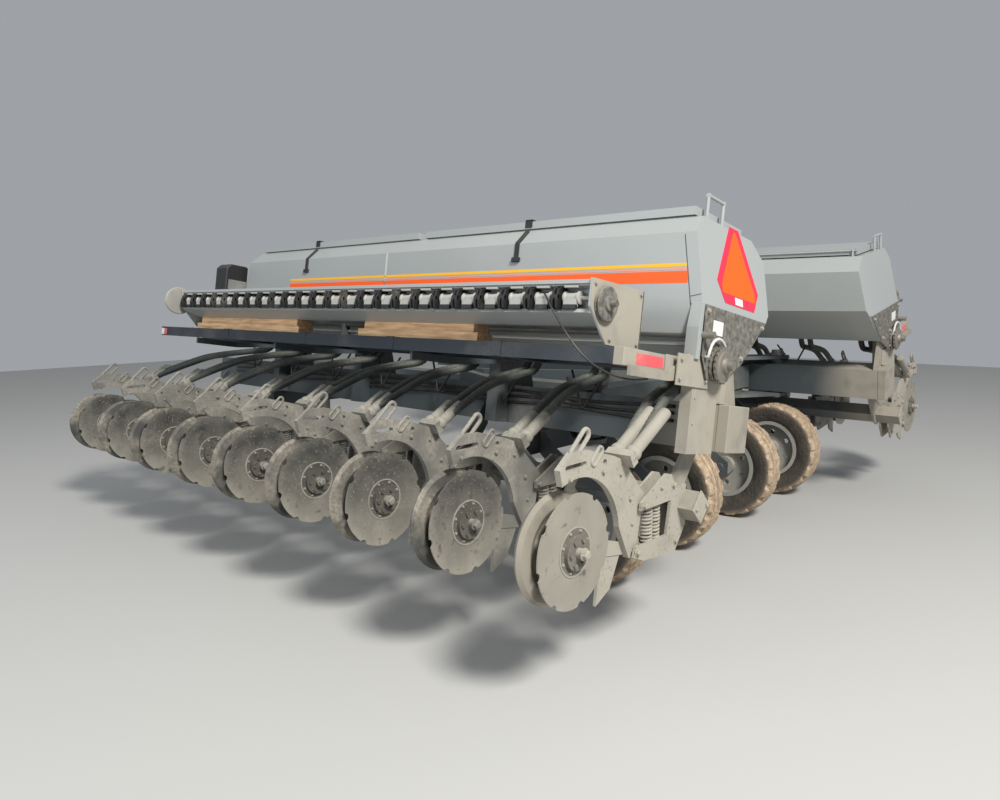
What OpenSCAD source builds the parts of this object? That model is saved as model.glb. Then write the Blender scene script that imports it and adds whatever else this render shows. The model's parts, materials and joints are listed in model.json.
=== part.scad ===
/* [Transport layout] */
// Half the distance between the two wing beams
wing_x = 1200; // [1150:10:1300]
// Height of the wing beams' centre line
beam_z = 885; // [880:1:920]
// Lean of a folded wing, opener side up
tilt = 9; // [7:0.5:11]
// Length of a wing beam
beam_len = 4300; // [4200:10:4500]
// Side of the square wing beam
beam_w = 200; // [180:5:205]
// Wall of the wing beam
beam_wall = 10; // [6:1:14]
// Distance of the fold pin from the wing's rear end
pin_y = 720; // [700:5:760]
// Radius of the fold pins
pin_r = 40; // [30:1:45]
// Running clearance of the fold pins
pin_gap = 1; // [0.5:0.5:2]

/* [Wheels] */
// Radius of the tyres
tyre_r = 340; // [320:5:350]
// Width of the tyres
tyre_w = 180; // [160:5:190]
// Radius of the wheel rims
rim_r = 205; // [190:5:215]
// Place across of the inner wheels
inner_wheel_x = 420; // [400:10:460]
// Place across of the outer wheels
outer_wheel_x = 1180; // [1150:10:1190]
// Radius of the axle stubs
axle_r = 28; // [22:1:34]

/* [Carriage and tongue] */
// Distance of the hitch pin from the wings' rear end
hitch_y = 5600; // [5400:10:6000]
// Height of the hitch plate's middle
hitch_z = 520; // [480:10:560]
// Radius of the hole for the drawbar pin
hitch_bore_r = 20; // [16:1:25]
// Distance of the parking jack behind the hitch pin
jack_back = 650; // [550:10:800]
// Travel of the parking jack's leg
jack_travel = 250; // [200:10:300]

/* [Hopper] */
// Reach of the hopper from the beam's centre, opener side
hop_out = 345; // [330:5:360]
// Reach of the hopper from the beam's centre, inner side
hop_in = 345; // [330:5:360]
// Height of the hopper's lower edge above the beam's centre
hop_bot = 500; // [480:5:520]
// Height of the hopper's shoulder above the beam's centre
hop_sh = 790; // [760:5:800]
// Height of the hopper's top above the beam's centre
hop_top = 870; // [850:5:890]
// Sheet thickness of the hopper
sheet = 5; // [3:1:8]
// Slope of the hopper's end sheets
end_lean = 11; // [8:0.5:14]
// Length of one lid
lid_len = 1660; // [1600:10:1750]
// Width of one lid
lid_w = 470; // [440:5:490]

/* [Openers] */
// Number of openers on a wing
openers = 9; // [6:1:9]
// Radius of the opener discs
disc_r = 203; // [190:1:206]
// Thickness of the opener discs
disc_t = 5; // [4:0.5:7]
// Side of the diamond-set toolbar
toolbar_w = 90; // [80:5:95]

/* [Small seeds box] */
// Length of the small seeds box
box_len = 3190; // [3100:10:3300]
// Number of feed cups under its lid
cups = 24; // [12:1:24]

/* [Hidden] */
$fn = 48;
eps = 0.3;
rear_reach = 90;
hitch_r = 44;
mid_y = (hitch_y + hitch_r - rear_reach) / 2;
wheel_y = pin_y;
disc_dx = -1044;
disc_dz = -289;
toolbar_dx = -330;
toolbar_dz = -270;
opener_y0 = 50;
pitch = (beam_len - opener_y0 - 186) / (openers - 1);
jack_y = hitch_y - jack_back;
lid_y0 = 110;
lid_gap = 60;
hop_len = 2 * (lid_y0 + lid_len) + lid_gap;
lid_ys = [lid_y0, lid_y0 + lid_len + lid_gap];
deck_z = 243;
deck_out = 825;
deck_in = 525;
deck_len = hop_len + 110;
hop_floor = 290;
deck_top = deck_z + 24;
box_x = -deck_out - 75;
box_z = deck_top + 75;
cup_at = [22, 93];
// y of the posts under the hopper
post_ys = [15, hop_len * 0.328, hop_len * 0.653, hop_len * 0.914];
block_h = (box_z - deck_top - 3 * eps) / 2;
shaft_at = [-330, 372];
shaft_r = 14;
hub_at = [-189, 262];
gauge_at = [-45, 12];
// the cup for the hoses, from the disc's centre, and the hoses' slope there
cup_dx = 298;
cup_dz = 290;
hose_fall = 62;
hose_r = 20;
// half the distance between the two hoses of an opener
hose_dy = 32;
// pins of the two parallel arms, from the disc's centre
arm_pins = [[395, 80], [350, -88]];
lid_pin = [-hop_out + 60 + lid_w, hop_top + 34];

grey = [0.72, 0.73, 0.70];
dusty = [0.66, 0.62, 0.54];
navy = [0.13, 0.17, 0.20];
steel = [0.45, 0.44, 0.42];
rubber = [0.10, 0.10, 0.10];

// The rear end of the wings is at y = 0 in the construction; the origin is the middle of the length
module placed() translate([0, -mid_y, 0]) children();
// side 1 is the left wing and -1 its mirror image
module wing(side) placed() mirror([side < 0 ? 1 : 0, 0, 0])
    translate([-wing_x, 0, beam_z]) rotate([0, tilt, 0]) children();
// the same place without the lean
module upright(side) placed() mirror([side < 0 ? 1 : 0, 0, 0]) translate([-wing_x, 0, beam_z]) children();
// draws an x-z outline from y0 to y1
module along(y0, y1) translate([0, y1, 0]) rotate([90, 0, 0]) linear_extrude(y1 - y0) children();
// draws a y-z outline from x0 to x1
module across(x0, x1) translate([x0, 0, 0]) rotate([90, 0, 90]) linear_extrude(x1 - x0) children();
module bar_y(r, y0, y1) translate([0, y1, 0]) rotate([90, 0, 0]) cylinder(r = r, h = y1 - y0);
function opener_y(k) = opener_y0 + k * pitch;

module carriage() {
    beam_y = pin_y + 145;
    low_y = wheel_y + tyre_r + 85;
    color(grey) placed() difference() {
        union() {
            // upper cross beam between the wings
            translate([-1050, beam_y, 800]) cube([2100, 160, 160]);
            // lower cross beam that carries the wheel arms
            translate([-1360, low_y, 600]) cube([2720, 120, 120]);
            for (x = [-720, -180, 165, 705])
                across(x, x + 15) polygon([[beam_y + 10, 810], [beam_y + 150, 810],
                    [low_y + 110, 700], [low_y + 10, 610]]);
            // hinge ears above and below each wing beam
            for (s = [-1, 1], z = [beam_z + 125, beam_z - 147]) hull() {
                translate([s * wing_x, pin_y, z]) cylinder(r = pin_r + 45, h = 22);
                translate([s * 900 - 100, beam_y + 5, z]) cube([200, 150, 22]);
            }
            for (s = [-1, 1]) translate([s * 900 - 90, beam_y + 20, beam_z - 140]) cube([180, 120, 280]);
            // plate arms down to each axle
            for (x = [-outer_wheel_x, -inner_wheel_x, inner_wheel_x, outer_wheel_x], s = [-1, 1])
                translate([x + s * (tyre_w / 2 + 22) - 7, 0, 0]) across(0, 14) polygon([
                    [low_y + 10, 610], [low_y + 110, 705], [low_y - 20, 720], [low_y - 110, 640],
                    [wheel_y - 50, tyre_r + 40], [wheel_y - 50, tyre_r - 45],
                    [wheel_y + 45, tyre_r - 55]]);
            for (x = [-outer_wheel_x, -inner_wheel_x, inner_wheel_x, outer_wheel_x])
                translate([x - tyre_w / 2 - 45, wheel_y, tyre_r]) rotate([0, 90, 0])
                    cylinder(r = axle_r, h = tyre_w + 90);
        }
        for (s = [-1, 1]) translate([s * wing_x, pin_y, 700]) cylinder(r = pin_r, h = 400);
    }
}

module tongue() color(grey) placed() {
    top_y = pin_y + 145 + 160;
    difference() {
        union() {
            translate([-80, top_y + eps, 730]) cube([160, hitch_y - top_y - 180, 130]);
            // side braces to the cross beam
            for (s = [-1, 1]) mirror([s < 0 ? 1 : 0, 0, 0]) translate([0, 0, 810])
                linear_extrude(90) polygon([[900, top_y + eps], [1010, top_y + eps],
                    [70, top_y + 1750], [70, top_y + 1620]]);
            // cradle under the wing beams' front ends
            translate([-1280, beam_len - 750, 660]) cube([2560, 100, 100]);
            // drop plates to the hitch
            for (x = [-60, 44]) across(x, x + 16) polygon([[hitch_y - 420, 740],
                [hitch_y - 180, 850], [hitch_y - 90, hitch_z + 60], [hitch_y - 90, hitch_z - 60],
                [hitch_y - 170, hitch_z - 60]]);
        }
        translate([-60, top_y + 20, 745]) cube([120, hitch_y - top_y - 230, 100]);
    }
}

module hitch() color(steel) placed() difference() {
    union() {
        translate([-44 + eps, hitch_y - 170, hitch_z - 50]) cube([88 - 2 * eps, 90, 100]);
        translate([-44 + eps, hitch_y - 85, hitch_z - 15]) cube([88 - 2 * eps, 85, 30]);
        translate([0, hitch_y, hitch_z - 15]) cylinder(r = 44 - eps, h = 30);
    }
    translate([0, hitch_y, hitch_z - 60]) cylinder(r = hitch_bore_r, h = 120);
}

module jack_sleeve() color(grey) placed() difference() {
    union() {
        translate([80 + eps, jack_y - 45, 560]) cube([110, 90, 330]);
        translate([135, jack_y, 880]) cylinder(r = 38, h = 60);
        translate([135, jack_y, 940]) cylinder(r = 12, h = 30);
        translate([135, jack_y - 8, 955]) cube([130, 16, 16]);
    }
    translate([135 - 34, jack_y - 34, 550]) cube([68, 68, jack_travel + 60]);
}

module jack_leg() color(steel) placed() {
    translate([135 - 33.6, jack_y - 33.6, 20]) cube([67.2, 67.2, 560]);
    translate([135, jack_y, 0]) cylinder(r = 110, h = 20);
}

module fold_pins() color(steel) placed() for (s = [-1, 1])
    translate([s * wing_x, pin_y, beam_z - 165]) {
        cylinder(r = pin_r, h = 350);
        translate([0, 0, 330 - 18]) cylinder(r = pin_r + 18, h = 16);
    }

// n is 1 to 4 from left to right
function wheel_x(n) = [-outer_wheel_x, -inner_wheel_x, inner_wheel_x, outer_wheel_x][n - 1];
module at_wheel(n) placed() translate([wheel_x(n), wheel_y, tyre_r]) rotate([0, 90, 0]) children();
module tyre(n) color(rubber) at_wheel(n) rotate_extrude($fn = 72) polygon([
    [rim_r, -tyre_w * 0.36], [tyre_r * 0.8, -tyre_w / 2], [tyre_r * 0.94, -tyre_w / 2],
    [tyre_r, -tyre_w * 0.4], [tyre_r, tyre_w * 0.4], [tyre_r * 0.94, tyre_w / 2],
    [tyre_r * 0.8, tyre_w / 2], [rim_r, tyre_w * 0.36]]);
module rim(n) color(grey) at_wheel(n) difference() {
    rotate_extrude($fn = 72) polygon([[60, -55], [60, -8], [rim_r - 25, -8],
        [rim_r - 25, -tyre_w * 0.38], [rim_r - eps, -tyre_w * 0.38], [rim_r - eps, tyre_w * 0.38],
        [rim_r - 25, tyre_w * 0.38], [rim_r - 25, 8], [60, 8], [60, 55], [axle_r + 1, 55],
        [axle_r + 1, -55]]);
    for (a = [0:60:300]) rotate([0, 0, a]) translate([120, 0, -20]) cylinder(r = 18, h = 40);
}

// cross-section of the diamond-set toolbar, g larger all round
module diamond(g) translate([toolbar_dx, toolbar_dz]) rotate(45)
    square(toolbar_w + 2 * g, center = true);
module wing_beam(side) color(grey) {
    difference() {
        union() {
            wing(side) difference() {
                translate([-beam_w / 2, 0, -beam_w / 2]) cube([beam_w, beam_len, beam_w]);
                translate([-beam_w / 2 + beam_wall, beam_wall, -beam_w / 2 + beam_wall])
                    cube([beam_w - 2 * beam_wall, beam_len, beam_w - 2 * beam_wall]);
            }
            upright(side) translate([0, pin_y, -118]) cylinder(r = pin_r + 22, h = 236);
            // hanger plates for the toolbar
            for (y = [96, opener_y(2.54), opener_y(5.52), beam_len - 110])
                upright(side) along(y, y + 16) difference() {
                polygon([[-95, 20], [-85, -110], [toolbar_dx + 60, toolbar_dz - 55],
                    [toolbar_dx - 10, toolbar_dz - 80], [toolbar_dx - 20, toolbar_dz + 85],
                    [toolbar_dx + 60, toolbar_dz + 110]]);
                diamond(eps);
            }
            // channel posts that carry the hopper, and their deck arms
            wing(side) for (y = post_ys) {
                translate([-beam_w / 2 - 90, y, -beam_w / 2]) difference() {
                    cube([90, 75, hop_floor + beam_w / 2 - 30]);
                    translate([12, 12, -1]) cube([66, 64, hop_floor + beam_w / 2]);
                }
                translate([0, y, 0]) along(0, 14) difference() {
                    polygon([[100, 100], [-100, 100], [-190, 205], [-deck_in, deck_z - 72],
                        [-deck_out + 20, deck_z - 72], [-deck_out + 20, deck_z - 36], [-deck_in, deck_z - 36],
                        shaft_at + [-34, -78], shaft_at + [-20, 20], shaft_at + [20, 20],
                        shaft_at + [34, -82], [-250, hop_floor - eps], [30, hop_floor - eps]]);
                    translate(shaft_at) circle(r = shaft_r + eps);
                }
            }
        }
        upright(side) translate([0, pin_y, -150]) cylinder(r = pin_r + pin_gap, h = 300);
    }
}

// outline of the hopper, w inside its outer face
module hopper_outline(w) polygon([[-hop_out + w, hop_bot], [-hop_out + w, hop_sh],
    [-hop_out + 75, hop_top - w], [hop_in - 130, hop_top - w], [hop_in - w, hop_sh],
    [hop_in - w, hop_bot + 40], [hop_in - 40 - w, hop_bot], [60 - w, hop_floor + w],
    [-200 + w, hop_floor + w]]);
// what a sloping end sheet leaves out, w inside its outer face
module end_wedges(w) {
    rise = (hop_top + 60 - hop_bot) * tan(end_lean);
    across(-400, 400) polygon([[-1, hop_bot], [w, hop_bot], [w + rise, hop_top + 60], [-1, hop_top + 60]]);
    across(-400, 400) polygon([[hop_len + 1, hop_bot], [hop_len + 1, hop_top + 60],
        [hop_len - w - rise, hop_top + 60], [hop_len - w, hop_bot]]);
}
module hopper(side) color(grey) wing(side) {
    difference() {
        along(0, hop_len) hopper_outline(0);
        end_wedges(0);
        difference() {
            along(sheet, hop_len - sheet) hopper_outline(sheet);
            end_wedges(sheet);
        }
        for (y = lid_ys) translate([-hop_out + 90, y + 20, hop_top - 20])
            cube([lid_w - 74, lid_len - 40, 40]);
    }
    // hatch rims under the lids
    for (y = lid_ys) difference() {
        translate([-hop_out + 86, y + 16, hop_top - 3]) cube([lid_w - 66, lid_len - 32, 43 - eps]);
        translate([-hop_out + 90, y + 20, hop_top - 20]) cube([lid_w - 74, lid_len - 40, 60]);
    }
    // hinge lugs at the ends of each lid
    for (y = lid_ys, e = [20, lid_len - 28]) along(y + e, y + e + 8) difference() {
        polygon([lid_pin + [-12, -34], lid_pin + [26, -38], lid_pin + [12, 12], lid_pin + [-12, 12]]);
        translate(lid_pin) circle(r = 6 + eps);
    }
    // dusty end plate that carries the drive hub
    along(-8, 1) polygon([[-hop_out + 8, hop_bot - 2], [hop_in - 60, hop_bot - 2], [60, hop_floor],
        [-120, hub_at[1] - 60], [-255, hub_at[1] - 60], [-290, hub_at[1] + 60]]);
    // grab hoop at the rear end
    translate([-150, lid_y0 - 26, hop_top - 3]) {
        for (x = [-72, 72]) translate([x, 0, 0]) cylinder(r = 8, h = 108);
        translate([-80, 0, 100]) rotate([0, 90, 0]) cylinder(r = 8, h = 160);
    }
}

module lid(side, y) color(grey) wing(side) translate([-hop_out + 70, y, hop_top + 24]) {
    difference() {
        translate([0, 0, -16]) cube([lid_w - 12, lid_len, 36]);
        translate([4, 4, -17]) cube([lid_w - 20, lid_len - 8, 33]);
        for (e = [14, lid_len - 34]) translate([lid_w - 34, e, -20]) cube([40, 20, 50]);
    }
    translate([lid_w - 10, 0, 10]) bar_y(6, 4, lid_len - 4);
}

module walkboard(side) color(navy) wing(side) translate([0, 80, deck_top - 60 + eps])
    difference() {
        translate([-deck_out, 0, 0]) cube([deck_out - deck_in, deck_len, 60]);
        translate([-deck_out + 6, -1, -1]) cube([deck_out - deck_in - 12, deck_len + 2, 54]);
    }

// small seeds box on the walkboard's boards
module seed_box(side) color(grey) wing(side) translate([box_x, 150, box_z]) {
    difference() {
        along(0, box_len) polygon([[0, 38], [10, 52], [40, 58], [40, 128], [6, 136], [6, 154], [330, 162],
            [330, 55], [250, 0], [110, 0]]);
        along(sheet, box_len - sheet) polygon([[9, 40], [16, 46], [46, 53], [46, 133], [12, 141], [12, 149],
            [324, 156], [324, 58], [247, 6], [112, 6]]);
        translate([20, 60, 66]) cube([40, box_len - 120, 54]);
    }
    // end plates that reach down to the walkboard
    for (y = [-6, box_len]) along(y, y + 6)
        polygon([[-12, 60], [-12, 162], [345, 170], [345, -66], [110, -66]]);
}

module feed_cups(side) color(dusty) wing(side) translate([box_x + cup_at[0], 150, box_z + cup_at[1]]) {
    bar_y(8, eps, box_len - eps);
    for (k = [0:cups - 1]) translate([0, 90 + k * (box_len - 180) / (cups - 1), 0]) {
        bar_y(20, -22, 22);
        translate([-26, -28, -34]) cube([16, 56, 30]);
        translate([-22, -8, -30]) cube([40, 16, 30]);
    }
}

// two boards stacked at each of two places, along the walkboard
module blocks(side) color(dusty) wing(side) for (b = [[784, 824], [2140, 1180]], n = [0, 1])
    translate([-deck_out + 25 + n * 14, b[0] + n * 40, deck_top + 2 * eps + n * (block_h + eps)])
        cube([95, b[1] - n * 70, block_h - eps]);

module toolbar(side) color(grey) upright(side) {
    translate([toolbar_dx, 0, toolbar_dz]) rotate([0, 45, 0]) difference() {
        translate([-toolbar_w / 2, -50, -toolbar_w / 2]) cube([toolbar_w, beam_len + 20, toolbar_w]);
        translate([-toolbar_w / 2 + 8, -60, -toolbar_w / 2 + 8])
            cube([toolbar_w - 16, beam_len + 60, toolbar_w - 16]);
    }
}

module at_opener(side, k) upright(side) translate([disc_dx, opener_y(k), disc_dz]) children();

module links(side) color(dusty) for (k = [0:openers - 1]) at_opener(side, k) {
    // upper and lower arms, one pair each side of the casting
    for (y = [-34, 22]) {
        along(y, y + 12) polygon([[375, 65], [380, 95], [560, 175], [600, 165], [650, 90], [640, 60]]);
        along(y, y + 12) difference() {
            polygon([[330, -105], [345, -68], [570, -75], [600, 60], [650, 100], [720, 105],
                [720, -65], [640, -160], [400, -135]]);
            translate([-disc_dx, -disc_dz]) diamond(eps);
        }
    }
    // spacer blocks between the arms
    translate([585, -23, 70]) cube([60, 46, 25]);
    for (p = arm_pins) translate([p[0], 0, p[1]]) bar_y(8, -34, 34);
    // two coil springs
    for (x = [470, 525], n = [0:6]) translate([x, 0, -70 + n * 20]) cylinder(r = 19, h = 12);
    for (x = [470, 525]) translate([x, 0, -90]) cylinder(r = 10, h = 170);
    for (z = [-100, 75]) translate([448, -23, z]) cube([100, 46, 12]);
}

module casting(side, k) at_opener(side, k) {
    difference() {
        along(-12, 12) difference() {
            polygon([[-84, 235], [-100, 300], [-30, 350], [60, 345], [130, 325], [212, 301], [290, 272],
                [335, 215], [430, 120], [370, -110], [327, -110], [250, 40], [100, 200]]);
            circle(r = disc_r + 55);
            translate([160, 285]) circle(r = 12);
            for (p = arm_pins) translate(p) circle(r = 8 + eps);
            translate([-60, 290]) square([100, 20]);
            for (x = [-60, 40]) translate([x, 300]) circle(r = 10);
        }
    }
    // leg between the blades down to the hub
    along(9, 21) polygon([[-66, 0], [-60, -14], [20, -40], [330, -100], [352, -60], [60, 30], [-50, 34]]);
    bar_y(18.7, -40, 20);
    translate([gauge_at[0], 0, gauge_at[1]]) bar_y(19.7, 10, 68);
    // cup that takes the two hoses
    translate([cup_dx, 0, cup_dz]) rotate([0, hose_fall, 0]) translate([-27, -55, -34]) cube([54, 110, 34]);
    // seed boot
    along(13, 25) polygon([[175, -55], [310, -80], [240, -210], [150, -250]]);
}
module castings(side) color(dusty) for (k = [0:openers - 1]) casting(side, k);

module blade(r) difference() {
    cylinder(r = r, h = disc_t);
    for (a = [10:45:350]) rotate([0, 0, a]) translate([r + 6, 0, -1]) cylinder(r = 18, h = disc_t + 2);
    translate([0, 0, -1]) cylinder(r = 19, h = disc_t + 2);
}
module discs(side) color(steel) for (k = [0:openers - 1]) at_opener(side, k) {
    translate([0, disc_t / 2, 0]) rotate([90, 0, 0]) {
        blade(disc_r);
        // pressed hub dish with its bolts
        translate([0, 0, disc_t]) difference() {
            cylinder(r = 62, h = 16);
            translate([0, 0, -1]) cylinder(r = 19, h = 20);
        }
        for (a = [0:60:300]) rotate([0, 0, a]) translate([46, 0, disc_t + 16]) cylinder(r = 8, h = 8);
    }
}
module gauge_rims(side) color(rubber) for (k = [0:openers - 1]) at_opener(side, k)
    translate([gauge_at[0], 0, gauge_at[1]]) rotate([90, 0, 0]) translate([0, 0, -78]) difference() {
        rotate_extrude() polygon([[20, 12], [20, 40], [120, 30], [150, 44], [185, 36], [198, 22],
            [185, 4], [150, 0], [120, 12]]);
    }

// a tube swept along points
function ring(p, d, r, n) = let (u = cross([0, 1, 0], d) / norm(cross([0, 1, 0], d)), v = cross(d, u))
    [for (i = [0:n - 1]) let (a = 360 * i / n) p + r * cos(a) * u + r * sin(a) * v];
module hose(pts, r, n = 8) {
    last = len(pts) - 1;
    dirs = [for (i = [0:last]) let (v = pts[min(i + 1, last)] - pts[max(i - 1, 0)]) v / norm(v)];
    rings = [for (i = [0:last]) each ring(pts[i], dirs[i], r, n)];
    polyhedron(rings, concat([[for (i = [0:n - 1]) i]], [[for (i = [n - 1:-1:0]) last * n + i]],
        [for (i = [0:last - 1], j = [0:n - 1])
            [i * n + j, (i + 1) * n + j, (i + 1) * n + (j + 1) % n, i * n + (j + 1) % n]]));
}
// from the hopper's leaning floor to the cup on the casting, in the x-z plane
hose_top = [-160 * cos(tilt) + (hop_floor - eps) * sin(tilt),
    160 * sin(tilt) + (hop_floor - eps) * cos(tilt)];
hose_way = [sin(hose_fall), cos(hose_fall)];
hose_end = [disc_dx + cup_dx, disc_dz + cup_dz] + eps * hose_way;
hose_pts = [hose_top, hose_top - 40 * [sin(tilt), cos(tilt)], [-162, 212], [-250, 196], [-370, 176],
    hose_end + 300 * hose_way, hose_end + 40 * hose_way, hose_end];
// y of a hose pair's upper end, spread along the hopper's floor
function hose_y(k) = 150 + k * (hop_len - 300) / (openers - 1);
function fan(k, p) = let (w = (p[0] - hose_end[0] - 35) / (hose_top[0] - hose_end[0] - 45))
    opener_y(k) + (hose_y(k) - opener_y(k)) * max(0, min(1, w));
module seed_hoses(side) color(rubber) upright(side) for (k = [0:openers - 1], y = [-hose_dy, hose_dy])
    translate([0, y, 0]) hose([for (p = hose_pts) [p[0], fan(k, p), p[1]]], hose_r);

module drive(side) color(steel) wing(side) {
    translate([shaft_at[0], 0, shaft_at[1]]) bar_y(shaft_r, -60, hop_len + 20);
    translate([hub_at[0], 0, hub_at[1]]) {
        bar_y(72, -48, -34);
        bar_y(72, -26, -12);
        bar_y(20, -rear_reach, -8 - eps);
    }
}

carriage();
tongue();
hitch();
jack_sleeve();
jack_leg();
fold_pins();
tyre(1);  // tyre_1
tyre(2);  // tyre_2
tyre(3);  // tyre_3
tyre(4);  // tyre_4
rim(1);  // rim_1
rim(2);  // rim_2
rim(3);  // rim_3
rim(4);  // rim_4
wing_beam(1);  // left_beam
hopper(1);  // left_hopper
lid(1, lid_ys[0]);  // left_lid_rear
lid(1, lid_ys[1]);  // left_lid_front
walkboard(1);  // left_walkboard
seed_box(1);  // left_seed_box
feed_cups(1);  // left_feed_cups
blocks(1);  // left_blocks
toolbar(1);  // left_toolbar
links(1);  // left_links
castings(1);  // left_castings
discs(1);  // left_discs
gauge_rims(1);  // left_gauge_rims
seed_hoses(1);  // left_seed_hoses
drive(1);  // left_drive
wing_beam(-1);  // right_beam
hopper(-1);  // right_hopper
lid(-1, lid_ys[0]);  // right_lid_rear
lid(-1, lid_ys[1]);  // right_lid_front
walkboard(-1);  // right_walkboard
seed_box(-1);  // right_seed_box
feed_cups(-1);  // right_feed_cups
blocks(-1);  // right_blocks
toolbar(-1);  // right_toolbar
links(-1);  // right_links
castings(-1);  // right_castings
discs(-1);  // right_discs
gauge_rims(-1);  // right_gauge_rims
seed_hoses(-1);  // right_seed_hoses
drive(-1);  // right_drive
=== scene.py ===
# %% [markdown]
# A folding grain seed drill, dressed in Blender. The drill stands folded for the road: two wings lie
# side by side, their disc openers outward, on a carriage with four tyres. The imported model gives
# every steel part its true place. Here it gets paint, dust, mud, rubber and the small parts that a
# maker bolts on last.

# %% Load the frame
import json
import math
import random

import bmesh
import bpy
from mathutils import Matrix, Vector


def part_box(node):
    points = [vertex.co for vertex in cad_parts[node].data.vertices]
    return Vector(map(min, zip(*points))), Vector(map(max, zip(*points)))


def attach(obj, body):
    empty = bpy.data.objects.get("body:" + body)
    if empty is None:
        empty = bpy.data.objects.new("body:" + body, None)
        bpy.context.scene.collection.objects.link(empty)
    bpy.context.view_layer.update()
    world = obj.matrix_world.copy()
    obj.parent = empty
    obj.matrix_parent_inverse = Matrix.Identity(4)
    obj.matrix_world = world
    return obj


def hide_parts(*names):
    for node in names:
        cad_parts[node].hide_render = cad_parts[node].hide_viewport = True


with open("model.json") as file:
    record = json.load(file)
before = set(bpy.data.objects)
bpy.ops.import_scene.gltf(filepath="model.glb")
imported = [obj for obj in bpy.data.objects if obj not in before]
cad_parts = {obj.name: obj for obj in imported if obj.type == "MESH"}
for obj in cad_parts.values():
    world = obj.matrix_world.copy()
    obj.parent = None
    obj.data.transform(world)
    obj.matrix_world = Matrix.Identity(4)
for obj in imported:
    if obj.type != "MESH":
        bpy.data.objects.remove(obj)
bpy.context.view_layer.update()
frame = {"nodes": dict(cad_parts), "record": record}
rng = random.Random(7)

# %% [markdown]
# Each wing leans by nine degrees in the folded pose. One matrix per wing turns measures taken on the
# wing itself, in metres from its beam, into places in the frame, so every plate and bolt is placed by
# its workshop size. The right wing is the mirror image of the left.

# %% Places on a wing
LEAN = math.radians(9)
BEAM_X, BEAM_Z = 1.2, 0.885
REAR_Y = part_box("left_beam")[0][1]
SIDES = {"left": 1, "right": -1}


def wing_frame(side, lean=LEAN):
    flip = Matrix.Diagonal((SIDES[side], 1, 1, 1))
    return flip @ Matrix.Translation((-BEAM_X, REAR_Y, BEAM_Z)) @ Matrix.Rotation(lean, 4, "Y")


LEANING = {side: wing_frame(side) for side in SIDES}
UPRIGHT = {side: wing_frame(side, 0) for side in SIDES}
print("rear end of the beams at y =", round(REAR_Y, 3))

# %% [markdown]
# The camera stands where the photographer stood: behind the left rear corner, at chest height, with
# the near openers close to the lens. A wide lens of 26 mm gives the strong taper of the long wing. The
# place, the turn and the slight roll come from lining up some fifty corners of the machine.

# %% Camera
CAMERA_AT = Vector((-4.183, REAR_Y - 1.359, 1.446))
HEADING, DOWN, ROLL = (math.radians(angle) for angle in (47.998, 7.815, -0.302))
camera_data = bpy.data.cameras.new("camera")
camera_data.lens = 26.2
camera_data.sensor_width = 36
camera = bpy.data.objects.new("camera", camera_data)
bpy.context.scene.collection.objects.link(camera)
camera.matrix_world = (Matrix.Translation(CAMERA_AT) @ Matrix.Rotation(-HEADING, 4, "Z")
                       @ Matrix.Rotation(math.pi / 2 - DOWN, 4, "X") @ Matrix.Rotation(ROLL, 4, "Z"))
bpy.context.scene.camera = camera
print("camera at", [round(value, 3) for value in CAMERA_AT])

# %% [markdown]
# The light is that of a plain studio: a pale world and one large key light high behind the camera,
# where the sun stood, so that the ends of the wings are bright and their undersides fall dark. A weak
# fill from the left opens the shadows a little. The plain view transform keeps the orange vivid.

# %% Light and floor
world = bpy.data.worlds.new("studio")
world.use_nodes = True
world.node_tree.nodes["Background"].inputs[0].default_value = (0.86, 0.90, 0.96, 1)
world.node_tree.nodes["Background"].inputs[1].default_value = 0.40
bpy.context.scene.world = world
bpy.context.scene.view_settings.view_transform = "Standard"


def area_light(name, place, target, size, power, colour=(1, 1, 1)):
    data = bpy.data.lights.new(name, "AREA")
    data.size = size
    data.energy = power
    data.color = colour
    lamp = bpy.data.objects.new(name, data)
    bpy.context.scene.collection.objects.link(lamp)
    lamp.location = place
    aim = Vector(target) - Vector(place)
    lamp.rotation_euler = aim.to_track_quat("-Z", "Y").to_euler()


area_light("key", (-4.6, -9.2, 8.4), (-1.2, -1.5, 0.8), 2.2, 1720, (1.0, 0.975, 0.93))
area_light("fill", (-9.0, 1.0, 4.0), (-1.2, 0.0, 0.8), 5.0, 210, (0.90, 0.95, 1.0))

# %% [markdown]
# Real paint on a farm machine is never one colour. Every finish below starts from a base colour and
# mixes in dust: a soft noise decides where it settled, upward faces hold more of it, and a fine
# second noise breaks its edge. The same mix drives roughness and a little bump.

# %% Finishes: the dusty mix
def new_material(name, rough=0.5, metal=0.0):
    material = bpy.data.materials.new(name)
    material.use_nodes = True
    shader = material.node_tree.nodes["Principled BSDF"]
    shader.inputs["Roughness"].default_value = rough
    shader.inputs["Metallic"].default_value = metal
    return material, material.node_tree.nodes, material.node_tree.links, shader


def noise(nodes, links, scale, detail=4.0, stretch=(1, 1, 1)):
    place = nodes.new("ShaderNodeTexCoord")
    mapping = nodes.new("ShaderNodeMapping")
    mapping.inputs["Scale"].default_value = stretch
    texture = nodes.new("ShaderNodeTexNoise")
    texture.inputs["Scale"].default_value = scale
    texture.inputs["Detail"].default_value = detail
    links.new(place.outputs["Object"], mapping.inputs["Vector"])
    links.new(mapping.outputs[0], texture.inputs["Vector"])
    return texture.outputs["Fac"]


def span(nodes, links, value, low, high, to_low=0.0, to_high=1.0):
    ramp = nodes.new("ShaderNodeMapRange")
    limits = {"From Min": low, "From Max": high, "To Min": to_low, "To Max": to_high}
    for socket, number in limits.items():
        ramp.inputs[socket].default_value = number
    links.new(value, ramp.inputs["Value"])
    return ramp.outputs[0]


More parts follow.
